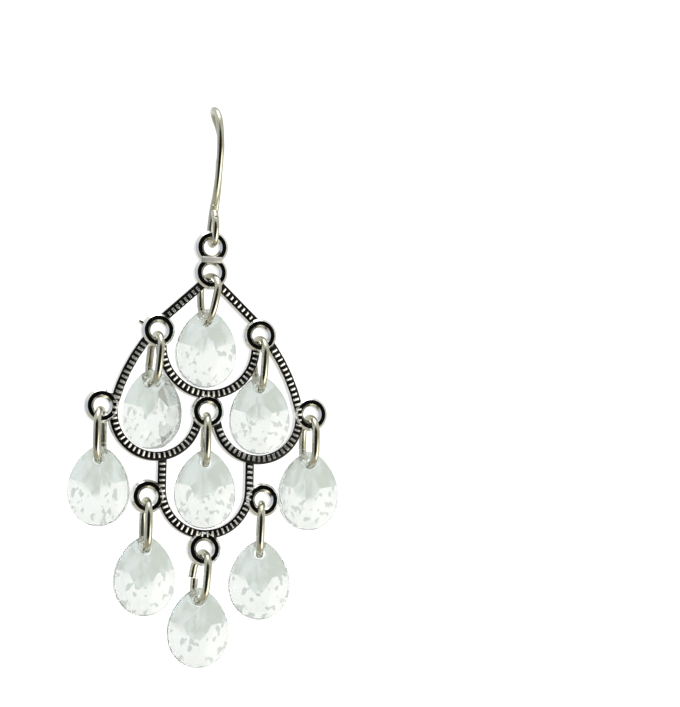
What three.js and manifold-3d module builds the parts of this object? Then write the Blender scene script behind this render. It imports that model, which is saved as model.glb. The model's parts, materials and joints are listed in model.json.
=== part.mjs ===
// A chandelier earring: an ear hook, one cast frame of ribbed hoops and eyelets,
// and nine faceted drops, each hung from an eyelet of its own by an oval jump ring.
// Millimetres, seen from the front: +X to the right, +Y away to the back, +Z up.
// The origin is where the hook rests in the ear, on the underside of its arc.

import * as THREE from "three";
import { ConvexGeometry } from "three/addons/geometries/ConvexGeometry.js";
import { mergeVertices } from "three/addons/utils/BufferGeometryUtils.js";
import Module from "manifold-3d";

const wasm = await Module();
wasm.setup();

// Ear hook: its wire, the bends of its two legs, and the eye that holds the frame
const HOOK_WIRE = 0.8;
const HOOK_RISE = 16.7;
const HOOK_BOW = 2.75;
const HOOK_REACH = 6.9;
const HOOK_SKEW = 1.9;
const EYE_HEIGHT = 4.1;
const EYE_PLAY = 0.2;
const EYE_CUT_GAP = 0.15;

// Eyelets: rings cast into the frame
const EYELET_HOLE = 2.0;
const EYELET_RIM = 1.05;
const EYELET_DEPTH = 1.5;
const EYELET_BEVEL = 0.3;
const TOP_EYELET_PITCH = 3.1;

// Bands: flat strips on edge, with ribs raised across the front
const BAND_WIDTH = 1.1;
const BAND_DEPTH = 1.6;
const RIB_RISE = 0.3;
const RIB_PITCH = 0.66;
const RIB_MARGIN = 0.14;

// Jump rings and drops
const JUMP_WIRE = 0.7;
const JUMP_LENGTH = 6.6;
const JUMP_WIDTH = 5.0;
const DROP_WIDTH = 7.4;
const DROP_HEIGHT = 9.6;
const DROP_THICKNESS = 4.0;
const DROP_GIRDLE = 0.6;
const DROP_HOLE = 1.4;
const DROP_HOLE_DOWN = 1.6;

// Room that a hoop leaves beside and below the drop inside it, and play between wires and holes
const TOP_HOOP_ROOM = 1.6;
const SIDE_HOOP_ROOM = 1.0;
const LOW_HOOP_ROOM = 1.2;
const DROP_GAP = 0.15;
const SIDE_DROP_GAP = 0.5;
const HOOK_PLAY = 0.2;
const JUMP_PLAY = 0.2;

// The stub left on one eyelet's rim where the metal was poured in
const STUB_WIDTH = 0.7;
const STUB_LENGTH = 1.1;
const STUB_TURN = 154;

// Where the eyelets sit on their hoops: the direction from the hoop's middle, and how far beyond the
// band's middle line as a share of the rim's radius
const EYELET_SEATS = {
  upper: { turn: 14.5, beyond: 0.36 },
  centre: { turn: -90, beyond: 1.02 },
  side: { turn: 5, beyond: 0.72 },
  lower: { turn: -8.5, beyond: 0.88 },
  bottom: { turn: -90, beyond: 0.85 },
};

// Shares of the sizes above: how wide a rib is in its pitch and how far its crest draws in, where a
// drop's cut centres from its tip down, how thick a drop is at its hole, and how fine the stub ends
const RIB_SHARE = 0.55;
const RIB_CREST = { along: 0.55, across: 0.8 };
const CUT_MIDDLE = 0.6;
const NECK_SHARE = 0.55;
const STUB_TIP_SHARE = 0.6;

// How far a side band laps past the centre eyelet's middle, seen from its hoop
const SIDE_BAND_LAP = 6;

// How finely the round forms are cut into faces
const WIRE_SIDES = 8;
const HOOK_STEPS = 84;
const JUMP_SIDES = 6;
const JUMP_SEGMENTS = 14;
const EYELET_SEGMENTS = 16;
const HOLE_SIDES = 12;
const HOOP_STEPS = 12;

const degrees = THREE.MathUtils.degToRad;

// The point at a distance and a direction from a centre, in the plane of the frame
function polar(centre, radius, angle) {
  return new THREE.Vector2(centre.x + radius * Math.cos(angle), centre.y + radius * Math.sin(angle));
}

const mirrored = (point, side) => new THREE.Vector2(side * point.x, point.y);

// Places in the plane of the frame: x is aside and y is up
const rimRadius = EYELET_HOLE / 2 + EYELET_RIM;
const eyeUp = HOOK_WIRE / 2 - HOOK_RISE;
const hookEyelet = new THREE.Vector2(0, eyeUp - (EYELET_HOLE - HOOK_WIRE) / 2 + HOOK_PLAY);
const topEyelet = new THREE.Vector2(0, hookEyelet.y - TOP_EYELET_PITCH);

// A jump ring stands in its eyelet; its bend carries the drop a little above its lowest point
const jumpBend = (JUMP_WIDTH - JUMP_WIRE) / 2;
const jumpSag = jumpBend - Math.sqrt(jumpBend ** 2 - ((NECK_SHARE * DROP_THICKNESS) / 2) ** 2);
const jumpTop = JUMP_PLAY - (EYELET_HOLE - JUMP_WIRE) / 2;
const jumpDrop = JUMP_LENGTH - JUMP_WIRE;
const dropTip = jumpSag / 2 + DROP_HOLE_DOWN;
const reach = DROP_HEIGHT - dropTip + jumpDrop - jumpTop;

// A hoop curves round the drop of the eyelet above it, with room beside and below
function hoopRound(eyelet, room, gap) {
  const radius = DROP_WIDTH / 2 + room + BAND_WIDTH / 2;
  const centre = new THREE.Vector2(eyelet.x, eyelet.y - reach - gap - BAND_WIDTH / 2 + radius);
  return { radius, centre };
}

// The centre of an eyelet that sits on a hoop's outside
function eyeletBy(hoop, { turn, beyond }) {
  return polar(hoop.centre, hoop.radius + beyond * rimRadius, degrees(turn));
}

const topHoop = hoopRound(topEyelet, TOP_HOOP_ROOM, DROP_GAP);
const upperEyelet = eyeletBy(topHoop, EYELET_SEATS.upper);
const centreEyelet = eyeletBy(topHoop, EYELET_SEATS.centre);
const sideHoop = hoopRound(upperEyelet, SIDE_HOOP_ROOM, SIDE_DROP_GAP);
const sideEyelet = eyeletBy(sideHoop, EYELET_SEATS.side);
const lowHoop = hoopRound(centreEyelet, LOW_HOOP_ROOM, DROP_GAP);
const lowerEyelet = eyeletBy(lowHoop, EYELET_SEATS.lower);
const bottomEyelet = eyeletBy(lowHoop, EYELET_SEATS.bottom);

// Each drop's eyelet and side, the turn of its jump ring and of itself about the upright, the ring's
// lean aside, and how far the ring was pulled longer or shorter than the rest
const HANGERS = [
  { name: "top", eyelet: topEyelet, side: 1, ringTurn: 3, dropTurn: 0, lean: 3, pulled: -0.1 },
  { name: "upper_left", eyelet: upperEyelet, side: -1, ringTurn: 4, dropTurn: 11, lean: 4.5, pulled: 0.2 },
  { name: "upper_right", eyelet: upperEyelet, side: 1, ringTurn: 8, dropTurn: 3, lean: -2.5, pulled: 0.35 },
  { name: "side_left", eyelet: sideEyelet, side: -1, ringTurn: -26, dropTurn: -20, lean: 0, pulled: 0.2 },
  { name: "side_right", eyelet: sideEyelet, side: 1, ringTurn: 6, dropTurn: 0, lean: 0, pulled: 0 },
  { name: "centre", eyelet: centreEyelet, side: 1, ringTurn: -9, dropTurn: -2, lean: 0, pulled: 0 },
  { name: "lower_left", eyelet: lowerEyelet, side: -1, ringTurn: -3, dropTurn: -6, lean: 0, pulled: 0.1 },
  { name: "lower_right", eyelet: lowerEyelet, side: 1, ringTurn: -14, dropTurn: -10, lean: 1, pulled: 0.3 },
  { name: "bottom", eyelet: bottomEyelet, side: 1, ringTurn: 7, dropTurn: 2, lean: 4, pulled: 0.1 },
];

// A closed mesh as a solid that can be joined and cut
function solid(geometry) {
  geometry.deleteAttribute("normal");
  geometry.deleteAttribute("uv");
  const merged = mergeVertices(geometry);
  const vertProperties = new Float32Array(merged.attributes.position.array);
  const triVerts = new Uint32Array(merged.index.array);
  return new wasm.Manifold(new wasm.Mesh({ numProp: 3, vertProperties, triVerts }));
}

const joined = (solids) => solids.reduce((whole, piece) => whole.add(piece));

function node(name, body, finish) {
  const { vertProperties, triVerts } = body.getMesh();
  const geometry = new THREE.BufferGeometry();
  geometry.setAttribute("position", new THREE.BufferAttribute(vertProperties, 3));
  geometry.setIndex(new THREE.BufferAttribute(triVerts, 1));
  geometry.computeVertexNormals();
  const mesh = new THREE.Mesh(geometry, new THREE.MeshStandardMaterial(finish));
  mesh.name = name;
  return mesh;
}

// The hook's two legs from the rear tip over the arc down to the stem, as shares of its own sizes
const LEG_STATIONS = [
  { aside: 0.82, back: 1.0, bow: 0, up: 0.127 },
  { aside: 0.93, back: 0.885, bow: 0, up: 0.331 },
  { aside: 1.0, back: 0.79, bow: 0, up: 0.542 },
  { aside: 0.92, back: 0.71, bow: 0, up: 0.729 },
  { aside: 0.63, back: 0.52, bow: 0, up: 0.892 },
  { aside: 0.21, back: 0.275, bow: 0, up: 0.979 },
  { aside: 0, back: 0, bow: 0, up: 1.0 },
  { aside: 0, back: 0, bow: 0.6, up: 0.946 },
  { aside: 0, back: 0, bow: 0.91, up: 0.831 },
  { aside: 0, back: 0, bow: 1.0, up: 0.705 },
  { aside: 0, back: 0, bow: 0.855, up: 0.548 },
  { aside: 0, back: 0, bow: 0.47, up: 0.386 },
];

// The eye's loop from its rear strand round under the eyelet's rim and up its front strand
const EYE_STATIONS = [
  { back: 1.0, up: 0.36 },
  { back: 0.71, up: 0.093 },
  { back: 0, up: 0 },
  { back: -0.71, up: 0.093 },
  { back: -1.0, up: 0.36 },
  { back: -1.0, up: 0.6 },
];

// One wire, from the plain rear tip to the cut end that closes the eye against the stem
function earHook() {
  const eyeHalf = (EYELET_DEPTH + HOOK_WIRE) / 2 + EYE_PLAY;
  const closing = (HOOK_WIRE + EYE_CUT_GAP) / 2;
  const legs = LEG_STATIONS.map(
    ({ aside, back, bow, up }) =>
      new THREE.Vector3(aside * HOOK_SKEW, back * HOOK_REACH - bow * HOOK_BOW, eyeUp + up * HOOK_RISE),
  );
  const stem = new THREE.Vector3(0, closing, eyeUp + EYE_HEIGHT);
  const eye = EYE_STATIONS.map(
    ({ back, up }) => new THREE.Vector3(0, back * eyeHalf, eyeUp + up * EYE_HEIGHT),
  );
  const cutEnd = new THREE.Vector3(0, -closing, eyeUp + EYE_HEIGHT);
  const centreline = new THREE.CatmullRomCurve3([...legs, stem, ...eye, cutEnd]);
  const outline = Array.from({ length: WIRE_SIDES }, (_, side) =>
    polar(new THREE.Vector2(), HOOK_WIRE / 2, (side * 2 * Math.PI) / WIRE_SIDES),
  );
  const settings = { extrudePath: centreline, steps: HOOK_STEPS };
  const wire = solid(new THREE.ExtrudeGeometry(new THREE.Shape(outline), settings));
  return node("ear_hook", wire, { color: 0xc9c4b4, metalness: 1, roughness: 0.22 });
}

// A ring with bevelled faces, its hole along the depth
function eyelet(place) {
  const hole = EYELET_HOLE / 2;
  const half = EYELET_DEPTH / 2;
  const wall = half - EYELET_BEVEL;
  const profile = [
    [hole, -wall],
    [hole + EYELET_BEVEL, -half],
    [rimRadius - EYELET_BEVEL, -half],
    [rimRadius, -wall],
    [rimRadius, wall],
    [rimRadius - EYELET_BEVEL, half],
    [hole + EYELET_BEVEL, half],
    [hole, wall],
    [hole, -wall],
  ].map(([radius, depth]) => new THREE.Vector2(radius, depth));
  const ring = new THREE.LatheGeometry(profile, EYELET_SEGMENTS);
  return solid(ring.translate(place.x, 0, place.y));
}

// What clears the ends of the bands from an eyelet's hole before its ring goes on
function eyeletCore(place) {
  const radius = (EYELET_HOLE + EYELET_RIM) / 2;
  const core = new THREE.CylinderGeometry(radius, radius, 2 * BAND_DEPTH, EYELET_SEGMENTS);
  return solid(core.translate(place.x, 0, place.y));
}

function line(from, to) {
  return new THREE.LineCurve(from, to);
}

// Part of a hoop's circle, anticlockwise where the second angle is the larger
function arc(hoop, from, to) {
  return new THREE.ArcCurve(hoop.centre.x, hoop.centre.y, hoop.radius, from, to, to < from);
}

function course(...curves) {
  const whole = new THREE.CurvePath();
  curves.forEach((curve) => whole.add(curve));
  return whole;
}

// Straight from under the top eyelet down to the outside of an upper eyelet
function shoulderCourse() {
  const from = new THREE.Vector2(topEyelet.x, topEyelet.y - EYELET_HOLE / 4);
  const to = new THREE.Vector2(upperEyelet.x, upperEyelet.y + EYELET_HOLE / 2);
  return course(line(from, to));
}

// Round under the top drop, from one upper eyelet to the other
function topCourse() {
  const end = Math.asin((upperEyelet.y - topHoop.centre.y) / topHoop.radius);
  return course(arc(topHoop, Math.PI - end, 2 * Math.PI + end));
}

// Down from an upper eyelet to touch the side hoop, and round under its drop to the centre eyelet
function sideCourse() {
  const from = new THREE.Vector2(upperEyelet.x + EYELET_HOLE / 4, upperEyelet.y);
  const away = from.clone().sub(sideHoop.centre);
  const start = away.angle() - Math.acos(sideHoop.radius / away.length());
  const inwards = centreEyelet.clone().sub(sideHoop.centre).angle();
  const end = inwards - 2 * Math.PI + degrees(SIDE_BAND_LAP);
  return course(line(from, polar(sideHoop.centre, sideHoop.radius, start)), arc(sideHoop, start, end));
}

// Down from one side hoop, round under the centre drop and up to the other side hoop
function lowCourse() {
  const inward = sideHoop.centre.x - lowHoop.radius;
  const below = Math.sqrt(sideHoop.radius ** 2 - inward ** 2);
  const from = new THREE.Vector2(lowHoop.radius, sideHoop.centre.y - below);
  const turn = new THREE.Vector2(lowHoop.radius, lowHoop.centre.y);
  return course(
    line(mirrored(from, -1), mirrored(turn, -1)),
    arc(lowHoop, Math.PI, 2 * Math.PI),
    line(turn, from),
  );
}

// A band's middle line as points, and its ribs at an even pitch where they are clear of its ends
function band(whole, isClear) {
  const count = Math.round(whole.getLength() / RIB_PITCH);
  const shares = Array.from({ length: count }, (_, index) => (index + 0.5) / count);
  const ribs = shares
    .map((share) => ({ place: whole.getPoint(share), angle: whole.getTangent(share).angle() }))
    .filter(({ place }) => isClear(place));
  return { points: whole.getPoints(HOOP_STEPS), ribs };
}

function flipped({ points, ribs }) {
  return {
    points: points.map((point) => mirrored(point, -1)),
    ribs: ribs.map(({ place, angle }) => ({ place: mirrored(place, -1), angle: -angle })),
  };
}

// The flat strip behind the ribs: its two edges beside the middle line, extruded through the depth
function strip({ points }) {
  const edge = (offset) =>
    points.map((point, index) => {
      const before = points[Math.max(index - 1, 0)];
      const after = points[Math.min(index + 1, points.length - 1)];
      const along = after.clone().sub(before).normalize();
      return new THREE.Vector2(point.x - along.y * offset, point.y + along.x * offset);
    });
  const outline = new THREE.Shape([...edge(-BAND_WIDTH / 2), ...edge(BAND_WIDTH / 2).reverse()]);
  const settings = { depth: BAND_DEPTH - RIB_RISE, bevelEnabled: false };
  const geometry = new THREE.ExtrudeGeometry(outline, settings);
  return solid(geometry.rotateX(Math.PI / 2).translate(0, BAND_DEPTH / 2, 0));
}

// One rib across a band, rooted in the strip as deep as it stands out, with its crest drawn in
function rib({ place, angle }) {
  const bar = new THREE.BoxGeometry(RIB_SHARE * RIB_PITCH, 2 * RIB_RISE, BAND_WIDTH - 2 * RIB_MARGIN);
  const corners = bar.attributes.position;
  for (let index = 0; index < corners.count; index += 1) {
    if (corners.getY(index) < 0) {
      corners.setX(index, corners.getX(index) * RIB_CREST.along);
      corners.setZ(index, corners.getZ(index) * RIB_CREST.across);
    }
  }
  bar.rotateY(-angle);
  return solid(bar.translate(place.x, RIB_RISE - BAND_DEPTH / 2, place.y));
}

// The stub on one upper eyelet's rim, pointing up and outwards
function castingStub() {
  const turn = degrees(STUB_TURN);
  const place = polar(mirrored(upperEyelet, -1), rimRadius, turn);
  const root = STUB_WIDTH / 2;
  const stub = new THREE.CylinderGeometry(STUB_TIP_SHARE * root, root, STUB_LENGTH, HOLE_SIDES);
  stub.rotateX(Math.PI / 2).rotateY(Math.PI / 2 - turn);
  return solid(stub.translate(place.x, 0, place.y));
}

// All the bands and eyelets are one casting
function castFrame() {
  const outsideRims = (...places) => (point) =>
    places.every((place) => point.distanceTo(place) > rimRadius);
  const belowSideHoops = (point) =>
    [-1, 1].every((side) => {
      const away = point.distanceTo(mirrored(sideHoop.centre, side));
      return away > sideHoop.radius + BAND_WIDTH / 2 + RIB_PITCH / 2;
    });
  const right = [
    band(shoulderCourse(), outsideRims(topEyelet, upperEyelet)),
    band(sideCourse(), outsideRims(upperEyelet, centreEyelet)),
  ];
  const bands = [
    ...right,
    ...right.map(flipped),
    band(topCourse(), outsideRims(upperEyelet, mirrored(upperEyelet, -1))),
    band(lowCourse(), belowSideHoops),
  ];
  const places = [hookEyelet, ...HANGERS.map(({ eyelet: place, side }) => mirrored(place, side))];
  const strips = joined(bands.map(strip)).subtract(joined(places.map(eyeletCore)));
  const raised = bands.flatMap(({ ribs }) => ribs.map(rib));
  const casting = joined([strips, ...places.map(eyelet), ...raised, castingStub()]);
  return node("cast_frame", casting, { color: 0x8f8f8c, metalness: 1, roughness: 0.35 });
}

// A round ring pulled out into a long one, hanging down from the middle of its top wire
function jumpRing(name, length) {
  const ring = new THREE.TorusGeometry(jumpBend, JUMP_WIRE / 2, JUMP_SIDES, JUMP_SEGMENTS);
  ring.rotateY(Math.PI / 2);
  const stretch = length / 2 - jumpBend;
  const corners = ring.attributes.position;
  for (let index = 0; index < corners.count; index += 1) {
    corners.setZ(index, corners.getZ(index) + stretch * Math.sign(corners.getZ(index)));
  }
  ring.translate(0, 0, -length / 2);
  return node(name, solid(ring), { color: 0xc9c4b4, metalness: 1, roughness: 0.22 });
}

// Half of a drop's outline from the tip down, as shares of its height and half width
const DROP_OUTLINE = [
  { down: 0, out: 0.14 },
  { down: 0.04, out: 0.32 },
  { down: 0.1, out: 0.49 },
  { down: 0.2, out: 0.7 },
  { down: 0.34, out: 0.88 },
  { down: 0.48, out: 0.97 },
  { down: 0.62, out: 1 },
  { down: 0.75, out: 0.95 },
  { down: 0.87, out: 0.77 },
  { down: 0.96, out: 0.43 },
  { down: 1, out: 0.1 },
];

// The cut of a drop, alike on both faces: the outline drawn in round the bulb's middle, step by step
// to the table; bulb and tip are shares of the half thickness there
const DROP_CUT = [
  { size: 0.8, bulb: 0.64, tip: 0.46 },
  { size: 0.42, bulb: 1.0, tip: 0.86 },
];

// A flat pear with a table and facets on both faces, hung from the middle of the wire in its hole
function drop(name) {
  const girdle = { size: 1, bulb: DROP_GIRDLE / DROP_THICKNESS, tip: DROP_GIRDLE / DROP_THICKNESS };
  const corners = [girdle, ...DROP_CUT].flatMap(({ size, bulb, tip }) =>
    DROP_OUTLINE.flatMap(({ down, out }) => {
      const share = CUT_MIDDLE + (down - CUT_MIDDLE) * size;
      const toTip = Math.max(0, 1 - share / CUT_MIDDLE);
      const depth = (DROP_THICKNESS / 2) * (bulb + (tip - bulb) * toTip);
      const aside = (DROP_WIDTH / 2) * out * size;
      const up = dropTip - DROP_HEIGHT * share;
      return [-1, 1].flatMap((side) =>
        [-1, 1].map((face) => new THREE.Vector3(side * aside, face * depth, up)),
      );
    }),
  );
  const hole = new THREE.CylinderGeometry(DROP_HOLE / 2, DROP_HOLE / 2, DROP_THICKNESS, HOLE_SIDES);
  const pear = solid(new ConvexGeometry(corners)).subtract(solid(hole.translate(0, 0, jumpSag / 2)));
  return node(name, pear, { color: 0xe4ebe7, metalness: 0, roughness: 0.05 });
}

// A jump ring in its eyelet with its drop hanging plumb from it
function hanger({ name, eyelet: place, side, ringTurn, dropTurn, lean, pulled }) {
  const length = jumpDrop + pulled;
  const hung = new THREE.Group();
  hung.position.set(side * place.x, 0, place.y + jumpTop);
  const ring = jumpRing(`jump_ring_${name}`, length);
  ring.rotation.set(0, degrees(lean), degrees(ringTurn), "YZX");
  const pear = drop(`drop_${name}`);
  pear.rotation.z = degrees(dropTurn);
  pear.position.set(-length * Math.sin(degrees(lean)), 0, -length * Math.cos(degrees(lean)));
  hung.add(ring, pear);
  return hung;
}

const earring = new THREE.Group();
earring.add(earHook(), castFrame(), ...HANGERS.map(hanger));

export default earring;
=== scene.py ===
# %% [markdown]
# A chandelier earring, dressed for the camera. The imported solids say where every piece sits. Here
# each one gets its fine shape and its finish: polished wire, a blackened casting with bright ribs,
# and clear faceted drops. The first cell loads the solids and keeps their outer box.

# %% Load the frame
import json
import math
import random
from collections import Counter

import bpy
from mathutils import Matrix, Vector


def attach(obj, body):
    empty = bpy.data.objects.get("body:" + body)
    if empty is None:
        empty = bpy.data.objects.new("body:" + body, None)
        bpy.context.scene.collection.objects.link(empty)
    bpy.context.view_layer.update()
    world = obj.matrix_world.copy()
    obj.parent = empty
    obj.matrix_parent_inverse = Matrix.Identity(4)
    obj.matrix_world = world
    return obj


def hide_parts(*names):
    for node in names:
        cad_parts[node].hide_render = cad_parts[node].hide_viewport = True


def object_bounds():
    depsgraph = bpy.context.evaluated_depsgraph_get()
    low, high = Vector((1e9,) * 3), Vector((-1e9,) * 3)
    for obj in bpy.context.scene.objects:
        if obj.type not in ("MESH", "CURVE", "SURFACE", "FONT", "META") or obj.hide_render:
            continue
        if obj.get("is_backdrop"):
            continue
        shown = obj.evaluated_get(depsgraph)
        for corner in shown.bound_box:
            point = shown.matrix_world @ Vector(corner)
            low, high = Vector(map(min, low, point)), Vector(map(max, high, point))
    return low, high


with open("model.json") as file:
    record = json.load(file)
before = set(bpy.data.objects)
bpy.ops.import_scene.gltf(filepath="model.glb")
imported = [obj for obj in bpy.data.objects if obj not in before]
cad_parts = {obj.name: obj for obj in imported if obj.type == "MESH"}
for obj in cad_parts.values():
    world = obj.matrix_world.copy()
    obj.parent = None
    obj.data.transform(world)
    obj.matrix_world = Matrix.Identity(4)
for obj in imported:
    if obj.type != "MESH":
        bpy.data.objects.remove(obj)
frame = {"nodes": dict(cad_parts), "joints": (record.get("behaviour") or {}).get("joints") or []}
cad_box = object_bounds()
MM = 0.001
print("pieces in the frame:", len(frame["nodes"]))

# %% [markdown]
# The camera stands where the photographer stood: a little to the left of the earring, slightly
# below it, and far enough away that the view is nearly flat. The earring hangs left of the
# picture's middle, so the camera is aimed past it instead of being shifted.

# %% Camera
PHOTO_WIDTH = 680
PHOTO_HEIGHT = 707
PIXELS_PER_MM = 8.2
CAMERA_DISTANCE = 300 * MM
CAMERA_AZIMUTH = math.radians(-14)
CAMERA_ELEVATION = math.radians(-5)
CAMERA_ROLL = math.radians(1.45)
AIM_BELOW_SEAT = 31.7 * MM
AIM_PIXEL_X = 207.75
AIM_PIXEL_Y = 370.0
SENSOR_WIDTH = 36
NEAREST = 10 * MM
FARTHEST = 10


def camera_turn():
    """The camera's rotation: level axes, rolled, then swung until the aim point meets its pixel."""
    look = Vector((-math.sin(CAMERA_AZIMUTH) * math.cos(CAMERA_ELEVATION),
                   math.cos(CAMERA_AZIMUTH) * math.cos(CAMERA_ELEVATION),
                   -math.sin(CAMERA_ELEVATION)))
    right = Vector((math.cos(CAMERA_AZIMUTH), math.sin(CAMERA_AZIMUTH), 0))
    up = right.cross(look)
    roll = Matrix.Rotation(-CAMERA_ROLL, 3, look)
    axes = Matrix((roll @ right, roll @ up, -look)).transposed()
    focal_pixels = PIXELS_PER_MM * CAMERA_DISTANCE / MM
    seen = Vector((AIM_PIXEL_X - PHOTO_WIDTH / 2, PHOTO_HEIGHT / 2 - AIM_PIXEL_Y, -focal_pixels))
    return look, axes @ seen.rotation_difference(Vector((0, 0, -1))).to_matrix()


def add_camera():
    look, turn = camera_turn()
    aim = Vector((0, 0, -AIM_BELOW_SEAT))
    bpy.ops.object.camera_add(location=aim - look * CAMERA_DISTANCE, rotation=turn.to_euler())
    camera = bpy.context.object
    camera.data.sensor_width = SENSOR_WIDTH
    camera.data.lens = PIXELS_PER_MM * CAMERA_DISTANCE / MM * SENSOR_WIDTH / PHOTO_HEIGHT
    camera.data.clip_start = NEAREST
    camera.data.clip_end = FARTHEST
    bpy.context.scene.camera = camera
    print("camera at", [round(v, 4) for v in camera.location], "lens", round(camera.data.lens, 2))


bpy.ops.object.select_all(action="DESELECT")
add_camera()

# %% [markdown]
# The room and the finishes are drawn with nodes. Each of these helpers adds one node and gives
# back the socket that goes on from there.

# %% Helpers for nodes
def link(tree, source, target):
    tree.links.new(source, target)
    return target


def feed(tree, socket, value):
    """A socket fed by another socket, or set to a plain value."""
    if isinstance(value, bpy.types.NodeSocket):
        tree.links.new(value, socket)
    else:
        socket.default_value = value


def range_node(tree, source, low, high):
    """A value brought smoothly from low..high to 0..1."""
    node = tree.nodes.new("ShaderNodeMapRange")
    node.interpolation_type = "SMOOTHSTEP"
    node.inputs["From Min"].default_value = low
    node.inputs["From Max"].default_value = high
    link(tree, source, node.inputs["Value"])
    return node.outputs["Result"]


def mix_node(tree, factor, first, second):
    """Two colours mixed by a factor; each may be a socket or a plain value."""
    node = tree.nodes.new("ShaderNodeMix")
    node.data_type = "RGBA"
    for socket, value in zip((node.inputs[0], node.inputs[6], node.inputs[7]), (factor, first, second)):
        feed(tree, socket, value)
    return node.outputs[2]


def noise_node(tree, vector, scale, detail=3.0):
    noise = tree.nodes.new("ShaderNodeTexNoise")
    noise.inputs["Detail"].default_value = detail
    link(tree, vector, noise.inputs["Vector"])
    feed(tree, noise.inputs["Scale"], scale)
    return noise.outputs["Fac"]


def math_node(tree, operation, first, second=0.0):
    """One or two values worked on; each may be a socket or a number."""
    node = tree.nodes.new("ShaderNodeMath")
    node.operation = operation
    feed(tree, node.inputs[0], first)
    feed(tree, node.inputs[1], second)
    return node.outputs[0]


def background_node(tree, colour, strength=1.0):
    """Light of one colour or of a colour socket."""
    node = tree.nodes.new("ShaderNodeBackground")
    node.inputs["Strength"].default_value = strength
    feed(tree, node.inputs["Color"], colour)
    return node.outputs[0]


def choose_node(tree, factor, first, second):
    """The first light where the factor is 0, and the second where it is 1."""
    node = tree.nodes.new("ShaderNodeMixShader")
    for socket, source in zip(node.inputs, (factor, first, second)):
        link(tree, source, socket)
    return node.outputs[0]


# %% [markdown]
# Metal and glass show what stands round them, so the room is half of their finish. Metal mirrors a
# tent: bright above and behind, cooler on the left and warmer on the right, and greyer below. A
# soft box stands low on the right, and it is dark where the camera and the photographer stand.

# %% The tent
TENT_LEFT = (0.52, 0.56, 0.62, 1)
TENT_RIGHT = (0.62, 0.59, 0.50, 1)
TENT_BEHIND = (0.85, 0.86, 0.86, 1)
TENT_TOP = (0.74, 0.75, 0.73, 1)
TENT_BOTTOM = (0.50, 0.47, 0.38, 1)
TENT_DARK = (0.012, 0.011, 0.009, 1)
SIDES_FADE = (-0.8, 0.8)
BEHIND_FADE = (0.3, 0.95)
TOP_FADE = (0.1, 0.8)
BOTTOM_FADE = (-0.1, -0.7)
DARK_TOWARD = (-0.31, -0.95, 0.0)
DARK_FADE = (0.60, 0.84)
BOX_TOWARD = (0.68, -0.58, -0.42)
BOX_LIGHT = (2.4, 2.3, 2.0, 1)
BOX_FADE = (0.82, 0.94)


def patch_node(tree, direction, toward, fade):
    """How far a direction lies inside a round patch of the tent, from 0 at its edge to 1."""
    near = tree.nodes.new("ShaderNodeVectorMath")
    near.operation = "DOT_PRODUCT"
    link(tree, direction, near.inputs[0])
    near.inputs[1].default_value = Vector(toward).normalized()
    return range_node(tree, near.outputs["Value"], *fade)


def tent_colour(tree, direction, axes):
    """The tent's sides, back, top and bottom, and over them the dark camera side and the soft box."""
    colour = mix_node(tree, range_node(tree, axes.outputs["X"], *SIDES_FADE), TENT_LEFT, TENT_RIGHT)
    colour = mix_node(tree, range_node(tree, axes.outputs["Y"], *BEHIND_FADE), colour, TENT_BEHIND)
    colour = mix_node(tree, range_node(tree, axes.outputs["Z"], *TOP_FADE), colour, TENT_TOP)
    colour = mix_node(tree, range_node(tree, axes.outputs["Z"], *BOTTOM_FADE), colour, TENT_BOTTOM)
    colour = mix_node(tree, patch_node(tree, direction, DARK_TOWARD, DARK_FADE), colour, TENT_DARK)
    return mix_node(tree, patch_node(tree, direction, BOX_TOWARD, BOX_FADE), colour, BOX_LIGHT)


# %% [markdown]
# Light that has come through glass finds another room: white above and aside, with small grey
# spots, and cloudy grey green below. The drops show it upside down, as a lens does.

# %% The room behind glass
GLASS_HIGH = (1.28, 1.28, 1.25, 1)
GLASS_SPOT = (0.80, 0.84, 0.81, 1)
GLASS_LOW = (0.74, 0.79, 0.71, 1)
GLASS_CLOUD = (0.96, 1.02, 1.00, 1)
GLASS_EDGE = 0.10
GLASS_SOFT = 0.04
GLASS_MIDDLE = 0.3
GLASS_WINGS = 0.4
SPOT_SCALE = 17.0
SPOT_DETAIL = 1.0
SPOT_FADE = (0.585, 0.63)
CLOUD_SCALE = 6.0
CLOUD_DETAIL = 2.0
CLOUD_FADE = (0.40, 0.62)


def glass_colour(tree, direction, axes):
    """White with spots above an edge that falls to both sides, and clouds below it."""
    off_middle = math_node(tree, "ABSOLUTE", math_node(tree, "SUBTRACT", axes.outputs["X"], GLASS_MIDDLE))
    height = math_node(tree, "ADD", axes.outputs["Z"], math_node(tree, "MULTIPLY", off_middle, GLASS_WINGS))
    high = range_node(tree, height, GLASS_EDGE - GLASS_SOFT, GLASS_EDGE + GLASS_SOFT)
    spots = range_node(tree, noise_node(tree, direction, SPOT_SCALE, SPOT_DETAIL), *SPOT_FADE)
    clouds = range_node(tree, noise_node(tree, direction, CLOUD_SCALE, CLOUD_DETAIL), *CLOUD_FADE)
    low = mix_node(tree, clouds, GLASS_LOW, GLASS_CLOUD)
    return mix_node(tree, high, low, mix_node(tree, spots, GLASS_HIGH, GLASS_SPOT))


# %% [markdown]
# The world shows each kind of ray its own light. The camera sees plain white, light that has come
# through glass sees the second room, and everything else sees the tent.

# %% The world
WHITE = (1, 1, 1, 1)
BACKGROUND_STRENGTH = 1.2


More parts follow.
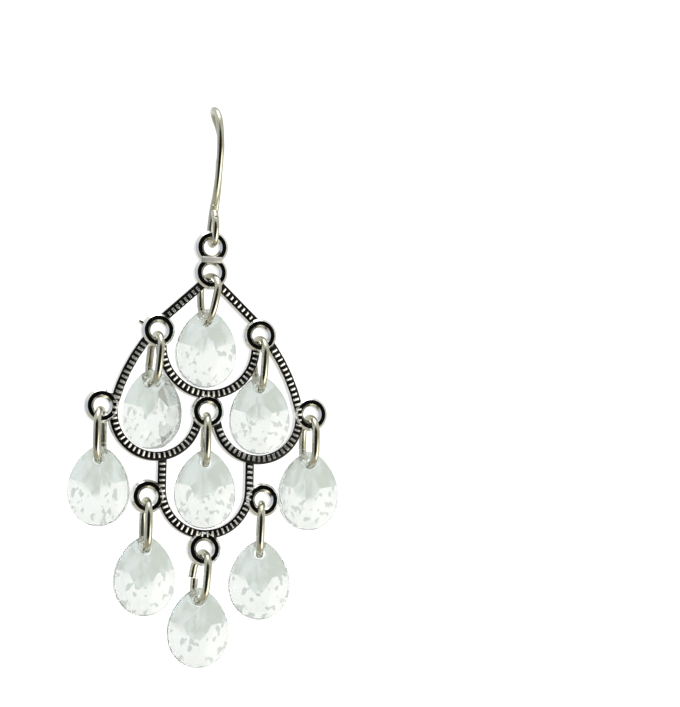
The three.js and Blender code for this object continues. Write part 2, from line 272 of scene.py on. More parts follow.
def build_room():
    world = bpy.data.worlds.new("tent")
    bpy.context.scene.world = world
    world.use_nodes = True
    tree = world.node_tree
    tree.nodes.clear()
    direction = tree.nodes.new("ShaderNodeTexCoord").outputs["Generated"]
    axes = tree.nodes.new("ShaderNodeSeparateXYZ")
    link(tree, direction, axes.inputs[0])
    rays = tree.nodes.new("ShaderNodeLightPath")
    tent = background_node(tree, tent_colour(tree, direction, axes))
    glass = background_node(tree, glass_colour(tree, direction, axes))
    plain = background_node(tree, WHITE, BACKGROUND_STRENGTH)
    lit = choose_node(tree, rays.outputs["Is Transmission Ray"], tent, glass)
    output = tree.nodes.new("ShaderNodeOutputWorld")
    link(tree, choose_node(tree, rays.outputs["Is Camera Ray"], lit, plain), output.inputs["Surface"])


build_room()
bpy.context.scene.view_settings.view_transform = "Standard"

# %% [markdown]
# A large soft lamp hangs above the earring and lifts the upper edges.

# %% Lamp
LAMP_SIZE = 300 * MM
LAMP_HEIGHT = 320 * MM
LAMP_FORWARD = 50 * MM
LAMP_POWER = 0.5

bpy.ops.object.light_add(type="AREA", location=(0, -LAMP_FORWARD, LAMP_HEIGHT))
lamp = bpy.context.object
lamp.name = "soft_lamp"
lamp.data.shape = "DISK"
lamp.data.size = LAMP_SIZE
lamp.data.energy = LAMP_POWER

# %% [markdown]
# A plain pale floor lies some way below. Only the camera sees it: the metal and the glass look past
# it into the tent, so it can be as wide as a view from above needs without changing any finish.

# %% Floor
FLOOR_RADIUS = 2.4
FLOOR_BELOW = 220 * MM
FLOOR_SIDES = 96
PAPER = (0.9, 0.9, 0.89, 1)
PAPER_ROUGH = 0.9
PAPER_LIGHT = (1, 1, 0.99, 1)
PAPER_GLOW = 0.42

bpy.ops.mesh.primitive_circle_add(vertices=FLOOR_SIDES, radius=FLOOR_RADIUS, fill_type="NGON",
                                  location=(0, 0, -FLOOR_BELOW))
floor = bpy.context.object
floor.name = "floor"
floor.visible_glossy = False
floor.visible_transmission = False
floor.visible_diffuse = False
paper = bpy.data.materials.new("pale_paper")
paper.use_nodes = True
paper_shader = paper.node_tree.nodes["Principled BSDF"]
paper_shader.inputs["Base Color"].default_value = PAPER
paper_shader.inputs["Roughness"].default_value = PAPER_ROUGH
paper_shader.inputs["Emission Color"].default_value = PAPER_LIGHT
paper_shader.inputs["Emission Strength"].default_value = PAPER_GLOW
floor.data.materials.append(paper)
floor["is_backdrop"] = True

# %% [markdown]
# Every new piece is modelled at its own place, so its object has to end at the origin with the
# place kept in its mesh. A few short helpers do what a maker does by hand: pick faces or corners
# by where they are, work on them in edit mode, and come back.

# %% Helpers for modelling
CUT_SNAP = 0.0001 * MM
MERGE_SNAP = 0.002 * MM


def select_only(piece):
    bpy.ops.object.select_all(action="DESELECT")
    piece.select_set(True)
    bpy.context.view_layer.objects.active = piece


def edit(action, **settings):
    """One operator run in edit mode on all of the active mesh."""
    bpy.ops.object.mode_set(mode="EDIT")
    bpy.ops.mesh.select_all(action="SELECT")
    action(**settings)
    bpy.ops.object.mode_set(mode="OBJECT")


def start_picking(kind):
    """Nothing selected, and corners or faces ready to be picked one by one."""
    bpy.ops.object.mode_set(mode="EDIT")
    bpy.ops.mesh.select_mode(type=kind)
    bpy.ops.mesh.select_all(action="DESELECT")
    bpy.ops.object.mode_set(mode="OBJECT")


def pick_corners(piece, test):
    """Selects the corners that pass a test, and nothing else, and stays in edit mode."""
    start_picking("VERT")
    for corner in piece.data.vertices:
        corner.select = test(corner.co)
    bpy.ops.object.mode_set(mode="EDIT")


def pick_faces(piece, test):
    """Selects the faces that pass a test, and nothing else, and stays in edit mode."""
    start_picking("FACE")
    for face in piece.data.polygons:
        face.select = test(face)
    bpy.ops.object.mode_set(mode="EDIT")


def close_up(piece, merge=MERGE_SNAP):
    """Merges doubled corners and turns every face outwards."""
    select_only(piece)
    bpy.ops.object.mode_set(mode="EDIT")
    bpy.ops.mesh.select_all(action="SELECT")
    bpy.ops.mesh.remove_doubles(threshold=merge)
    bpy.ops.mesh.normals_make_consistent(inside=False)
    bpy.ops.object.mode_set(mode="OBJECT")


def settle(piece, name):
    """Names a piece and moves its place and turn into its mesh."""
    select_only(piece)
    bpy.ops.object.transform_apply(location=True, rotation=True, scale=True)
    piece.name = name
    piece.data.name = name
    return piece


def copy_of(piece, matrix):
    """A copy with a mesh of its own, put in its place."""
    twin = piece.copy()
    twin.data = piece.data.copy()
    twin.data.transform(matrix)
    bpy.context.scene.collection.objects.link(twin)
    return twin


def join(pieces, name):
    bpy.ops.object.select_all(action="DESELECT")
    for piece in pieces:
        piece.select_set(True)
    bpy.context.view_layer.objects.active = pieces[0]
    bpy.ops.object.join()
    return settle(bpy.context.object, name)


# %% [markdown]
# Three effects turn up in more than one finish, so each is a node group with named inputs. Mottle
# is the cloudy unevenness of any handled surface. Fine relief is its bump: scratches in wire,
# grain in a casting, ripples in a moulded drop. The third is tarnish, which on the eyelets' flat
# fronts is also a painted reflection of the dark camera side.

# %% Mottle and fine relief
MOTTLE_FROM = (0.3, 0.7)
RELIEF_DETAIL = 2.0


def new_group(name, inputs, outputs):
    """An empty node group with named sockets, and its input and output nodes."""
    tree = bpy.data.node_groups.new(name, "ShaderNodeTree")
    for label, kind, value in inputs:
        socket = tree.interface.new_socket(label, in_out="INPUT", socket_type=kind)
        if value is not None:
            socket.default_value = value
    for label, kind in outputs:
        tree.interface.new_socket(label, in_out="OUTPUT", socket_type=kind)
    return tree, tree.nodes.new("NodeGroupInput"), tree.nodes.new("NodeGroupOutput")


def build_mottle():
    """Noise brought between two values."""
    tree, given, made = new_group(
        "mottle",
        [("Vector", "NodeSocketVector", None), ("Scale", "NodeSocketFloat", 1000.0),
         ("Low", "NodeSocketFloat", 0.1), ("High", "NodeSocketFloat", 0.3)],
        [("Value", "NodeSocketFloat")],
    )
    spread = tree.nodes.new("ShaderNodeMapRange")
    spread.inputs["From Min"].default_value = MOTTLE_FROM[0]
    spread.inputs["From Max"].default_value = MOTTLE_FROM[1]
    link(tree, noise_node(tree, given.outputs["Vector"], given.outputs["Scale"]), spread.inputs["Value"])
    link(tree, given.outputs["Low"], spread.inputs["To Min"])
    link(tree, given.outputs["High"], spread.inputs["To Max"])
    link(tree, spread.outputs["Result"], made.inputs["Value"])
    return tree


def build_fine_relief():
    """A normal shaken by noise of a stated scale, depth and stretch."""
    tree, given, made = new_group(
        "fine_relief",
        [("Vector", "NodeSocketVector", None), ("Scale", "NodeSocketFloat", 2000.0),
         ("Stretch", "NodeSocketVector", (1.0, 1.0, 1.0)), ("Strength", "NodeSocketFloat", 0.2),
         ("Depth", "NodeSocketFloat", 0.00001)],
        [("Normal", "NodeSocketVector")],
    )
    stretched = tree.nodes.new("ShaderNodeVectorMath")
    stretched.operation = "MULTIPLY"
    link(tree, given.outputs["Vector"], stretched.inputs[0])
    link(tree, given.outputs["Stretch"], stretched.inputs[1])
    bump = tree.nodes.new("ShaderNodeBump")
    noise = noise_node(tree, stretched.outputs[0], given.outputs["Scale"], RELIEF_DETAIL)
    link(tree, noise, bump.inputs["Height"])
    link(tree, given.outputs["Strength"], bump.inputs["Strength"])
    link(tree, given.outputs["Depth"], bump.inputs["Distance"])
    link(tree, bump.outputs["Normal"], made.inputs["Normal"])
    return tree


# %% [markdown]
# Tarnish is the black that is brushed over a casting and then polished off all that stands proud.
# It covers faces that look forward, from the crests down to the roots, and breaks up in clouds. On
# the eyelets' proud flat fronts this black is partly patina and partly a painted reflection of the
# dark camera side. A thin patchy soot stays on the flat back. The mask that goes out with the
# colour says where it is.

# %% Tarnish and painted reflection
NOISE_MIDDLE = 0.5
BLACK_FADE = (0.3, 0.8)
FACING_SOFT = 0.06
BACK_FADE = (0.6, 0.95)
SOOT_SCALE = 700.0
SOOT_FADE = (0.35, 0.7)
SOOT_DEPTH = 0.75


def build_black_with_painted_reflection():
    """Bright metal turned black by depth and by the way a face looks; partly patina, partly painted
    reflection.
    """
    tree, given, made = new_group(
        "tarnish_and_painted_reflection",
        [("Vector", "NodeSocketVector", None), ("Bright", "NodeSocketColor", (0.8, 0.8, 0.8, 1.0)),
         ("Black", "NodeSocketColor", (0.02, 0.02, 0.02, 1.0)), ("Crest", "NodeSocketFloat", -0.0008),
         ("Root", "NodeSocketFloat", -0.0005), ("Facing", "NodeSocketFloat", -2.0),
         ("Scale", "NodeSocketFloat", 2500.0), ("Patchy", "NodeSocketFloat", 0.5)],
        [("Color", "NodeSocketColor"), ("Mask", "NodeSocketFloat")],
    )
    axes = tree.nodes.new("ShaderNodeSeparateXYZ")
    link(tree, given.outputs["Vector"], axes.inputs[0])
    depth = tree.nodes.new("ShaderNodeMapRange")
    link(tree, axes.outputs["Y"], depth.inputs["Value"])
    link(tree, given.outputs["Crest"], depth.inputs["From Min"])
    link(tree, given.outputs["Root"], depth.inputs["From Max"])
    noise = noise_node(tree, given.outputs["Vector"], given.outputs["Scale"])
    cloud = math_node(tree, "SUBTRACT", noise, NOISE_MIDDLE)
    uneven = math_node(tree, "MULTIPLY", cloud, given.outputs["Patchy"])
    low = range_node(tree, math_node(tree, "ADD", depth.outputs["Result"], uneven), *BLACK_FADE)
    normal = tree.nodes.new("ShaderNodeSeparateXYZ")
    link(tree, tree.nodes.new("ShaderNodeTexCoord").outputs["Normal"], normal.inputs[0])
    # Black on forward faces: patina in hollows, partly a painted reflection on the eyelets' fronts.
    forward = math_node(tree, "MULTIPLY", normal.outputs["Y"], -1)
    past = math_node(tree, "SUBTRACT", forward, given.outputs["Facing"])
    ahead = math_node(tree, "MULTIPLY", low, range_node(tree, past, 0.0, FACING_SOFT))
    flat_back = range_node(tree, normal.outputs["Y"], *BACK_FADE)
    soot = range_node(tree, noise_node(tree, given.outputs["Vector"], SOOT_SCALE), *SOOT_FADE)
    behind = math_node(tree, "MULTIPLY", flat_back, math_node(tree, "MULTIPLY", soot, SOOT_DEPTH))
    mask = math_node(tree, "MAXIMUM", ahead, behind)
    link(tree, mix_node(tree, mask, given.outputs["Bright"], given.outputs["Black"]), made.inputs["Color"])
    link(tree, mask, made.inputs["Mask"])
    return tree


GROUPS = {"mottle": build_mottle(), "fine_relief": build_fine_relief(), "tarnish_and_painted_reflection": build_black_with_painted_reflection()}


def use_group(tree, name, vector, **values):
    """A group placed in a material with its own values."""
    node = tree.nodes.new("ShaderNodeGroup")
    node.node_tree = GROUPS[name]
    link(tree, vector, node.inputs["Vector"])
    for label, value in values.items():
        node.inputs[label].default_value = value
    return node


def start_material(name, **plain):
    """A Principled material with plain values, where _ in a name stands for a space, and its coordinates."""
    material = bpy.data.materials.new(name)
    material.use_nodes = True
    tree = material.node_tree
    shader = tree.nodes["Principled BSDF"]
    for label, value in plain.items():
        shader.inputs[label.replace("_", " ")].default_value = value
    coordinates = tree.nodes.new("ShaderNodeTexCoord")
    return material, tree, shader, coordinates.outputs["Object"]


# %% [markdown]
# The wire of the hook and the jump rings is nickel plated: bright, a touch warm, with faint lines
# drawn along it. The casting is silver plated and then blackened, and polished again so that only
# the crests of the ribs and the edges of the eyelets shine. The black on the eyelets' flat fronts
# is partly patina and partly a painted reflection of the dark camera side.

# %% Metal finishes
NICKEL = (0.69, 0.685, 0.59, 1)
NICKEL_DULL = (0.575, 0.56, 0.44, 1)
ALONG_WIRE = (1.0, 1.0, 0.15)
SILVER = (0.95, 0.95, 0.93, 1)
# The patina, also used as a painted reflection of the dark camera side on the eyelets' fronts.
BLACK = (0.010, 0.010, 0.011, 1)
BLACK_METAL = 0.3


def wire_finish():
    material, tree, shader, place = start_material("nickel_wire", Metallic=1.0)
    tint = use_group(tree, "mottle", place, Scale=900.0, Low=0.0, High=1.0)
    colour = mix_node(tree, tint.outputs["Value"], NICKEL, NICKEL_DULL)
    link(tree, colour, shader.inputs["Base Color"])
    rough = use_group(tree, "mottle", place, Scale=2600.0, Low=0.1, High=0.24)
    link(tree, rough.outputs["Value"], shader.inputs["Roughness"])
    relief = use_group(tree, "fine_relief", place, Scale=2200.0, Strength=0.25, Depth=0.03 * MM,
                       Stretch=ALONG_WIRE)
    link(tree, relief.outputs["Normal"], shader.inputs["Normal"])
    return material


def casting_finish(name, depths, rough, facing=-2.0, patchy=0.0, metal=1.0):
    """Silver plate, black from the first depth to the second where a face looks forward past a limit."""
    material, tree, shader, place = start_material(name)
    black = use_group(tree, "tarnish_and_painted_reflection", place, Crest=depths[0], Root=depths[1], Bright=SILVER,
                      Facing=facing, Black=BLACK, Scale=450.0, Patchy=patchy)
    link(tree, black.outputs["Color"], shader.inputs["Base Color"])
    mottle = use_group(tree, "mottle", place, Scale=1800.0, Low=rough[0], High=rough[1])
    link(tree, mottle.outputs["Value"], shader.inputs["Roughness"])
    solid = tree.nodes.new("ShaderNodeMapRange")
    solid.inputs["To Min"].default_value = metal
    solid.inputs["To Max"].default_value = BLACK_METAL
    link(tree, black.outputs["Mask"], solid.inputs["Value"])
    link(tree, solid.outputs["Result"], shader.inputs["Metallic"])
    relief = use_group(tree, "fine_relief", place, Scale=2000.0, Strength=0.25, Depth=0.02 * MM)
    link(tree, relief.outputs["Normal"], shader.inputs["Normal"])
    return material


# %% [markdown]
# The drops are clear, with the faintest green, and moulded with facets. Light passes through them,
# so almost all of their look is refraction. Their faces ripple a little, which blurs the facets.

# %% Clear finish
DROP_TINT = (0.95, 0.975, 0.965, 1)
DROP_CLEAR = 0.82
DROP_IOR = 1.46


def drop_finish():
    material, tree, shader, place = start_material(
        "clear_drop", Base_Color=DROP_TINT, Transmission_Weight=DROP_CLEAR, IOR=DROP_IOR)
    rough = use_group(tree, "mottle", place, Scale=1500.0, Low=0.0, High=0.05)
    link(tree, rough.outputs["Value"], shader.inputs["Roughness"])
    relief = use_group(tree, "fine_relief", place, Scale=900.0, Strength=0.25, Depth=0.04 * MM)
    link(tree, relief.outputs["Normal"], shader.inputs["Normal"])
    return material


WIRE = wire_finish()
CLEAR = drop_finish()

# %% [markdown]
# These are the sizes of the solids. The hoops' table gives the room beside a drop and below it. The
# seats' table gives an eyelet's direction from the middle of its hoop, in degrees, and how far out
# it sits in radii of its rim.

# %% Sizes of the solids
EYELET_HOLE = 2.0 * MM
EYELET_RIM = 1.05 * MM
EYELET_DEPTH = 1.5 * MM
EYELET_BEVEL = 0.28 * MM
TOP_EYELET_PITCH = 3.1 * MM
BAND_WIDTH = 1.1 * MM
BAND_DEPTH = 1.6 * MM
RIB_RISE = 0.3 * MM
RIB_PITCH = 0.66 * MM
RIB_LENGTH = 0.7 * MM
HOOK_WIRE = 0.8 * MM
JUMP_WIRE = 0.7 * MM
JUMP_LENGTH = 6.6 * MM
JUMP_WIDTH = 5.0 * MM
DROP_WIDTH = 7.4 * MM
DROP_HEIGHT = 9.6 * MM
DROP_THICKNESS = 4.0 * MM
DROP_GIRDLE = 0.9 * MM
DROP_HOLE = 1.4 * MM
DROP_HOLE_DOWN = 1.6 * MM
NECK_SHARE = 0.55
HOOK_PLAY = 0.2 * MM
JUMP_PLAY = 0.2 * MM
HOOPS = {"top": (1.6 * MM, 0.15 * MM), "side": (1.0 * MM, 0.5 * MM), "low": (1.2 * MM, 0.15 * MM)}
SEATS = {"upper": (14.5, 0.36), "centre": (-90, 1.02), "side": (5, 0.72),
         "lower": (-8.5, 0.88), "bottom": (-90, 0.85)}
SIDE_BAND_LAP = math.radians(6)
SIDE_BAND_BOW = math.radians(14)

rim_radius = EYELET_HOLE / 2 + EYELET_RIM
eye_up = frame["joints"][0]["pos_m"][2]
jump_bend = (JUMP_WIDTH - JUMP_WIRE) / 2
jump_sag = jump_bend - math.sqrt(jump_bend**2 - (NECK_SHARE * DROP_THICKNESS / 2) ** 2)
jump_top = JUMP_PLAY - (EYELET_HOLE - JUMP_WIRE) / 2
jump_drop = JUMP_LENGTH - JUMP_WIRE
drop_tip = jump_sag / 2 + DROP_HOLE_DOWN
reach = DROP_HEIGHT - drop_tip + jump_drop - jump_top


# %% [markdown]
# The casting is laid out from the drops it holds: each hoop leaves room round the drop that hangs
# in it, and the eyelets sit on the hoops. The plan lies in the plane of the frame, with x aside
# and its y standing for height.

# %% Plan of the casting
def polar(centre, radius, angle):
    return Vector((centre.x + radius * math.cos(angle), centre.y + radius * math.sin(angle)))


def mirrored(point, side=-1):
    return Vector((side * point.x, point.y))


def hoop_round(eyelet, room, gap):
    """Centre and radius of the hoop round the drop that hangs from an eyelet."""
    radius = DROP_WIDTH / 2 + room + BAND_WIDTH / 2
    return Vector((eyelet.x, eyelet.y - reach - gap - BAND_WIDTH / 2 + radius)), radius


def seat(hoop, name):
    turn, beyond = SEATS[name]
    return polar(hoop[0], hoop[1] + beyond * rim_radius, math.radians(turn))


hook_eyelet = Vector((0, eye_up - (EYELET_HOLE - HOOK_WIRE) / 2 + HOOK_PLAY))
top_eyelet = Vector((0, hook_eyelet.y - TOP_EYELET_PITCH))
top_hoop = hoop_round(top_eyelet, *HOOPS["top"])
upper_eyelet = seat(top_hoop, "upper")
centre_eyelet = seat(top_hoop, "centre")
side_hoop = hoop_round(upper_eyelet, *HOOPS["side"])
side_eyelet = seat(side_hoop, "side")
low_hoop = hoop_round(centre_eyelet, *HOOPS["low"])
lower_eyelet = seat(low_hoop, "lower")
bottom_eyelet = seat(low_hoop, "bottom")

# %% [markdown]
# Every ring and drop hangs a little differently. The first table gives each place's eyelet, the
# turns of its ring and of its drop and their lean aside, in degrees, and how much longer than
# usual the ring is. Two rings are wrung as well, by so many degrees at their top and bottom.

# %% Hanging places
HANGERS = {
    "top": (top_eyelet, 3, -7, 3, -0.1 * MM),
    "upper_left": (mirrored(upper_eyelet), 4, -37, 4.5, 0.2 * MM),
    "upper_right": (upper_eyelet, 8, -8, -2.5, 0.35 * MM),
    "side_left": (mirrored(side_eyelet), -22, -20, 0, 0.2 * MM),
    "side_right": (side_eyelet, 6, -3, 0, 0),
    "centre": (centre_eyelet, -9, -11, 0, 0),
    "lower_left": (mirrored(lower_eyelet), -3, -6, 0, 0.1 * MM),
    "lower_right": (lower_eyelet, -14, -12, 1, 0.3 * MM),
    "bottom": (bottom_eyelet, 7, -9, 4, 0.1 * MM),
}
WRUNG = {"top": (20, -5), "upper_right": (2, -14)}
print("eyelets down from the seat, in mm:", [round(-e[0].y / MM, 2) for e in HANGERS.values()])

# %% [markdown]
# An eyelet is a ring with a squarish section. Its section is a plane with its corners cut off at a
# slant, spun about the eyelet's axis.

# %% Eyelets
EYELET_STEPS = 48


def cast_eyelet(place):
    middle = (EYELET_HOLE + EYELET_RIM) / 2
    bpy.ops.mesh.primitive_plane_add(size=1, location=(place.x + middle, 0, place.y))
    section = bpy.context.object
    section.scale = (EYELET_RIM, EYELET_DEPTH, 1)
    settle(section, "eyelet")
    edit(bpy.ops.mesh.bevel, offset=EYELET_BEVEL, segments=1, affect="VERTICES")
    edit(bpy.ops.mesh.delete, type="ONLY_FACE")
    edit(bpy.ops.mesh.spin, steps=EYELET_STEPS, angle=2 * math.pi,
         center=(place.x, 0, place.y), axis=(0, 1, 0))
    close_up(section)
    return section


# %% [markdown]
# A band is a flat strip on edge. Its section is drawn across its start, and then pushed straight
# or spun round the middle of a hoop, leg by leg, the way a course of wire is laid.

# %% Bands
STRIP_DEPTH = BAND_DEPTH - RIB_RISE
STRIP_BEVEL = 0.06 * MM
STRIP_SHY = 0.012 * MM
ARC_STEP = math.radians(5)


def line_leg(start, end):
    """A straight leg: its length, and its place and heading at a distance along it."""
    along = end - start
    heading = math.atan2(along.y, along.x)
    return {"length": along.length, "at": lambda d: (polar(start, d, heading), heading),
            "push": {"value": (along.x, 0, along.y)}}


def arc_leg(hoop, begin, turn):
    """A leg round a hoop from one direction, anticlockwise where the turn is positive."""
    centre, radius = hoop
    sense = 1 if turn > 0 else -1

    def at(distance):
        angle = begin + sense * distance / radius
        return polar(centre, radius, angle), angle + sense * math.pi / 2

    return {"length": abs(turn) * radius, "at": at,
            "spin": {"steps": max(4, round(abs(turn) / ARC_STEP)), "angle": turn,
                     "center": (centre.x, 0, centre.y), "axis": (0, 1, 0)}}


def lay_strip(legs, shy=0):
    """The strip's section, pushed and spun along its legs. A shy strip ends a hair inside the others."""
    start, heading = legs[0]["at"](0)
    middle = (BAND_DEPTH - STRIP_DEPTH) / 2
    bpy.ops.mesh.primitive_plane_add(size=1, location=(start.x, middle, start.y),
                                     rotation=(0, math.pi / 2 - heading, 0))
    strip = bpy.context.object
    strip.scale = (BAND_WIDTH, STRIP_DEPTH - 2 * shy, 1)
    settle(strip, "strip")
    edit(bpy.ops.mesh.bevel, offset=STRIP_BEVEL, segments=2, affect="VERTICES")
    bpy.ops.object.mode_set(mode="EDIT")
    bpy.ops.mesh.select_mode(type="FACE")
    bpy.ops.mesh.select_all(action="SELECT")
    for leg in legs:
        if "spin" in leg:
            bpy.ops.mesh.spin(**leg["spin"])
        else:
            bpy.ops.mesh.extrude_region_move(TRANSFORM_OT_translate=leg["push"])
    bpy.ops.object.mode_set(mode="OBJECT")
    close_up(strip)
    return strip


# %% [markdown]
# Four courses make up the casting's bands: the shoulder and the side, which are mirrored, and the
# top hoop and the low hoop in the middle.

# %% Courses
def shoulder_course():
    """Straight from under the top eyelet down to the outside of an upper eyelet."""
    start = Vector((0, top_eyelet.y - EYELET_HOLE / 4))
    return [line_leg(start, Vector((upper_eyelet.x, upper_eyelet.y + EYELET_HOLE / 2)))]


def top_course():
    """Round under the top drop, from one upper eyelet to the other."""
    end = math.asin((upper_eyelet.y - top_hoop[0].y) / top_hoop[1])
    return [arc_leg(top_hoop, math.pi - end, math.pi + 2 * end)]


def side_course():
    """Down from an upper eyelet in a flat bow that runs into the side hoop, and round under its drop."""
    start = Vector((upper_eyelet.x + EYELET_HOLE / 4, upper_eyelet.y))
    away = start - side_hoop[0]
    begin = math.atan2(away.y, away.x) - math.acos(side_hoop[1] / away.length) - SIDE_BAND_BOW
    meet = polar(side_hoop[0], side_hoop[1], begin)
    outward = (meet - side_hoop[0]).normalized()
    radius = (start - meet).length_squared / (2 * (meet - start).dot(outward))
    bow = (meet - radius * outward, radius)
    lift = math.atan2(start.y - bow[0].y, start.x - bow[0].x)
    inwards = centre_eyelet - side_hoop[0]
    end = math.atan2(inwards.y, inwards.x) - 2 * math.pi + SIDE_BAND_LAP
    print("bow radius in mm:", round(radius / MM, 1))
    return [arc_leg(bow, lift, begin - lift), arc_leg(side_hoop, begin, end - begin)]


def low_course():
    """Down from one side hoop, round under the centre drop and up to the other side hoop."""
    radius = low_hoop[1]
    below = math.sqrt(side_hoop[1] ** 2 - (side_hoop[0].x - radius) ** 2)
    start = Vector((radius, side_hoop[0].y - below))
    turn = Vector((radius, low_hoop[0].y))
    down = line_leg(mirrored(start), mirrored(turn))
    return [down, arc_leg(low_hoop, math.pi, math.pi), line_leg(turn, start)]


# %% [markdown]
# The ribs stand across the bands like the milling on a coin. One rib is a block whose front edges
# are bevelled round and whose front slopes along the band, so that it takes the soft box's light on
# one flank. The rest are copies of it, set at an even pitch wherever the band is clear of an
# eyelet, and each is a little longer, thicker or more turned than the last.

# %% Ribs
RIB_WIDTH = 0.29 * MM
RIB_BEVEL = 0.09 * MM
RIB_SLOPE = 0.42
RIB_INSET = 0.08 * MM
SHOULDER_RIB = 0.82
WIDTHS = (0.85, 1.1)
LENGTHS = (0.85, 1.05)
TURNS = (-0.06, 0.06)

uneven = random.Random(5)


def model_rib():
    bpy.ops.mesh.primitive_cube_add(size=1)
    rib = bpy.context.object
    rib.scale = (RIB_WIDTH, 2 * RIB_RISE, RIB_LENGTH)
    settle(rib, "rib")
    pick_faces(rib, lambda face: face.normal.y < -0.9)
    bpy.ops.mesh.bevel(offset=RIB_BEVEL, segments=3, affect="EDGES")
    bpy.ops.object.mode_set(mode="OBJECT")
    for corner in rib.data.vertices:
        if corner.co.y < 0:
            corner.co.y += RIB_SLOPE * corner.co.x
    return rib


def rib_places(legs, is_clear):
    """Places and headings at an even pitch along a course, where they are clear."""
    total = sum(leg["length"] for leg in legs)
    count = round(total / RIB_PITCH)
    places = []
    for index in range(count):
        distance = (index + 0.5) * total / count
        for leg in legs:
            if distance <= leg["length"]:
                break
            distance -= leg["length"]
        place, heading = leg["at"](distance)
        if is_clear(place):
            places.append((place, heading))
    return places


def set_rib(rib, place, heading, inset=0, share=1):
    """A copy of the rib on its place, as uneven as a cast one."""
    front = RIB_RISE - BAND_DEPTH / 2
    place = polar(place, inset, heading - math.pi / 2)
    size = Matrix.Diagonal((uneven.uniform(*WIDTHS), 1, share * uneven.uniform(*LENGTHS), 1))
    turn = Matrix.Rotation(-heading + uneven.uniform(*TURNS), 4, "Y")
    return copy_of(rib, Matrix.Translation((place.x, front, place.y)) @ turn @ size)


# %% [markdown]
# Strips, ribs and eyelets come from one mould. The strips are cut back from the eyelets' holes, so
# that every hole stays open. The middle ones are a hair shallower, so that no two faces lie in one
# plane. A stub on one eyelet's rim shows where the metal was poured in, and a bright bar lies
# where the two top eyelets meet.

# %% Parts of the casting
STUB_WIDTH = 0.85 * MM
STUB_LENGTH = 1.1 * MM
STUB_TURN = math.radians(154)
STUB_BEVEL = 0.08 * MM
CORE_STEPS = 40
NECK_BAR_LENGTH = 2.7 * MM
NECK_BAR_WIDTH = 0.8 * MM
NECK_BAR_PROUD = 0.12 * MM
NECK_BAR_BEVEL = 0.2 * MM


def outside_rims(*places):
    return lambda point: all((point - place).length > rim_radius for place in places)


def below_side_hoops(point):
    clear = side_hoop[1] + BAND_WIDTH / 2 + RIB_PITCH / 2
    return all((point - mirrored(side_hoop[0], side)).length > clear for side in (-1, 1))


def hole_cores(places):
    """Cylinders through all the eyelets, as wide as the middle of their rims."""
    cores = []
    for place in places:
        bpy.ops.mesh.primitive_cylinder_add(
            vertices=CORE_STEPS, radius=(EYELET_HOLE + EYELET_RIM) / 2, depth=2 * BAND_DEPTH,
            location=(place.x, 0, place.y), rotation=(math.pi / 2, 0, 0))
        cores.append(bpy.context.object)
    return join(cores, "cores")


def cut_by(piece, cutter):
    select_only(piece)
    bpy.ops.object.modifier_add(type="BOOLEAN")
    modifier = piece.modifiers[-1]
    modifier.operation = "DIFFERENCE"
    modifier.solver = "EXACT"
    modifier.object = cutter
    bpy.ops.object.modifier_apply(modifier=modifier.name)


def casting_stub():
    place = polar(mirrored(upper_eyelet), rim_radius, STUB_TURN)
    bpy.ops.mesh.primitive_cone_add(
        vertices=16, radius1=STUB_WIDTH / 2, radius2=STUB_WIDTH / 4, depth=STUB_LENGTH,
        location=(place.x, 0, place.y), rotation=(0, math.pi / 2 - STUB_TURN, 0))
    stub = bpy.context.object
    edit(bpy.ops.mesh.bevel, offset=STUB_BEVEL, segments=2, affect="EDGES")
    return stub


def neck_bar():
    """The bright bar where the two top eyelets meet."""
    bpy.ops.mesh.primitive_cube_add(size=1, location=(0, 0, (hook_eyelet.y + top_eyelet.y) / 2))
    bar = bpy.context.object
    bar.scale = (NECK_BAR_LENGTH, EYELET_DEPTH + 2 * NECK_BAR_PROUD, NECK_BAR_WIDTH)
    settle(bar, "neck_bar")
    edit(bpy.ops.mesh.bevel, offset=NECK_BAR_BEVEL, segments=3, affect="EDGES")
    return bar


def finish_with(piece, material, slot, body, *nodes, smooth=35):
    """Gives a finished piece its material, shading and body, and hides the solids of the nodes it stands for.
    """
    piece.data.materials.clear()
    piece.data.materials.append(material)
    select_only(piece)
    bpy.ops.object.shade_smooth_by_angle(angle=math.radians(smooth))
    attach(piece, body)
    if nodes:
        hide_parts(*nodes)


# %% [markdown]
# The casting ends as three meshes, because the bands, the ribs and the eyelets are blackened
# differently, and the bar is a fourth. The bands and the eyelets are black wherever they look
# forward, and the ribs are black at their roots. On the eyelets' flat fronts that black is partly
# patina and partly a painted reflection of the dark camera side.

# %% The casting
ALL_DEPTHS = (-3 * MM, -2 * MM)
RIB_CREST = 0.3 * RIB_RISE - BAND_DEPTH / 2
RIB_ROOT = 0.8 * RIB_RISE - BAND_DEPTH / 2


